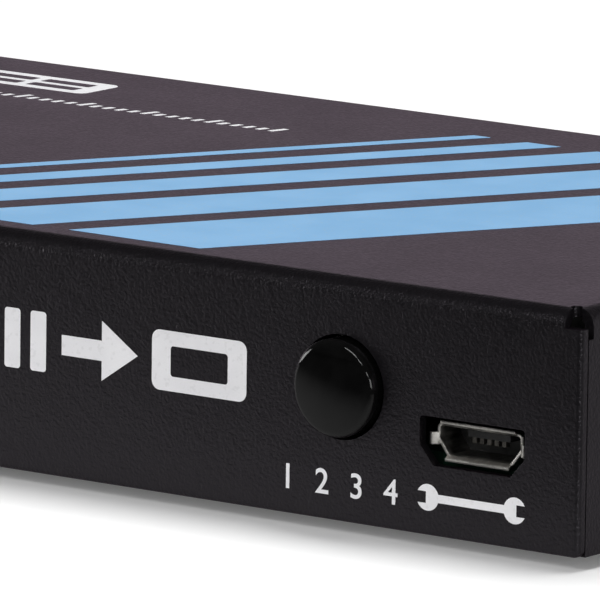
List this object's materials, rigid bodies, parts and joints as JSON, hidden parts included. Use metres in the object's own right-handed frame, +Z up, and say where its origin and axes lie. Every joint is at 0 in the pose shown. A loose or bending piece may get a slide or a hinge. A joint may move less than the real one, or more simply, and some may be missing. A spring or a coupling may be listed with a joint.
{
  "type": "video switch box",
  "caption": "Low black sheet-metal video switch box with a push button and a service port in front, and video and power sockets behind.",
  "frame": {"origin": "on the table, under the middle of the case", "axes": "+X to the right as seen from the front, the front faces -Y, +Z up"},
  "size_m": [0.1628, 0.0666, 0.0188],
  "materials": {
    "case_coat": "fine textured black powder coat",
    "gloss_black": "glossy black moulded plastic",
    "black_plastic": "matte black moulded plastic",
    "nickel": "nickel plated pressed steel",
    "gold": "thin gold plating",
    "black_screw": "black zinc plating",
    "rubber": "matte black rubber",
    "board": "green solder mask on glass-fibre board",
    "film": "thin black insulating film",
    "red_light": "clear red epoxy",
    "green_light": "clear green epoxy",
    "dark_window": "very dark red clear plastic",
    "chip": "black moulded epoxy",
    "thermal_pad": "soft grey-blue silicone",
    "black_aluminium": "black anodised",
    "ferrite": "dark grey ferrite",
    "capacitor_can": "bare aluminium can"
  },
  "bodies": {
    "case": {"base_tray": "case_coat", "board_screws": "nickel", "board_standoffs": "nickel", "capacitors": "capacitor_can", "case_screws": "black_screw", "crystal": "nickel", "heat_sink": "black_aluminium", "infrared_receiver": "black_plastic", "infrared_window": "dark_window", "input_1_contacts": "gold", "input_1_insulator": "black_plastic", "input_1_shell": "nickel", "input_2_contacts": "gold", "input_2_insulator": "black_plastic", "input_2_shell": "nickel", "input_3_contacts": "gold", "input_3_insulator": "black_plastic", "input_3_shell": "nickel", "input_4_contacts": "gold", "input_4_insulator": "black_plastic", "input_4_shell": "nickel", "input_lights": "green_light", "insulating_sheet": "film", "light_holders": "black_plastic", "main_board": "board", "memory_chips": "chip", "microcontroller": "chip", "output_contacts": "gold", "output_insulator": "black_plastic", "output_shell": "nickel", "power_inductor": "ferrite", "power_light": "red_light", "power_socket_body": "black_plastic", "power_socket_pin": "nickel", "power_socket_spring": "nickel", "receiver_chips": "chip", "rubber_feet": "rubber", "service_port_contacts": "gold", "service_port_shell": "nickel", "service_port_tongue": "black_plastic", "switch_bracket": "nickel", "switch_dome": "nickel", "switch_housing": "black_plastic", "switch_terminals": "nickel", "thermal_pad": "thermal_pad", "top_cover": "case_coat", "video_processor": "chip", "voltage_regulators": "chip"},
    "button": {"button_cap": "gloss_black", "switch_plunger": "black_plastic"}
  },
  "joints": [
    {"name": "button_press", "type": "slide", "parent": "case", "child": "button", "axis": [0, 1, 0], "range_m": [0, 0.00035], "stiffness_N_per_m": 1500, "springref_m": -0.0008, "deforming": ["switch_dome"]}
  ]
}
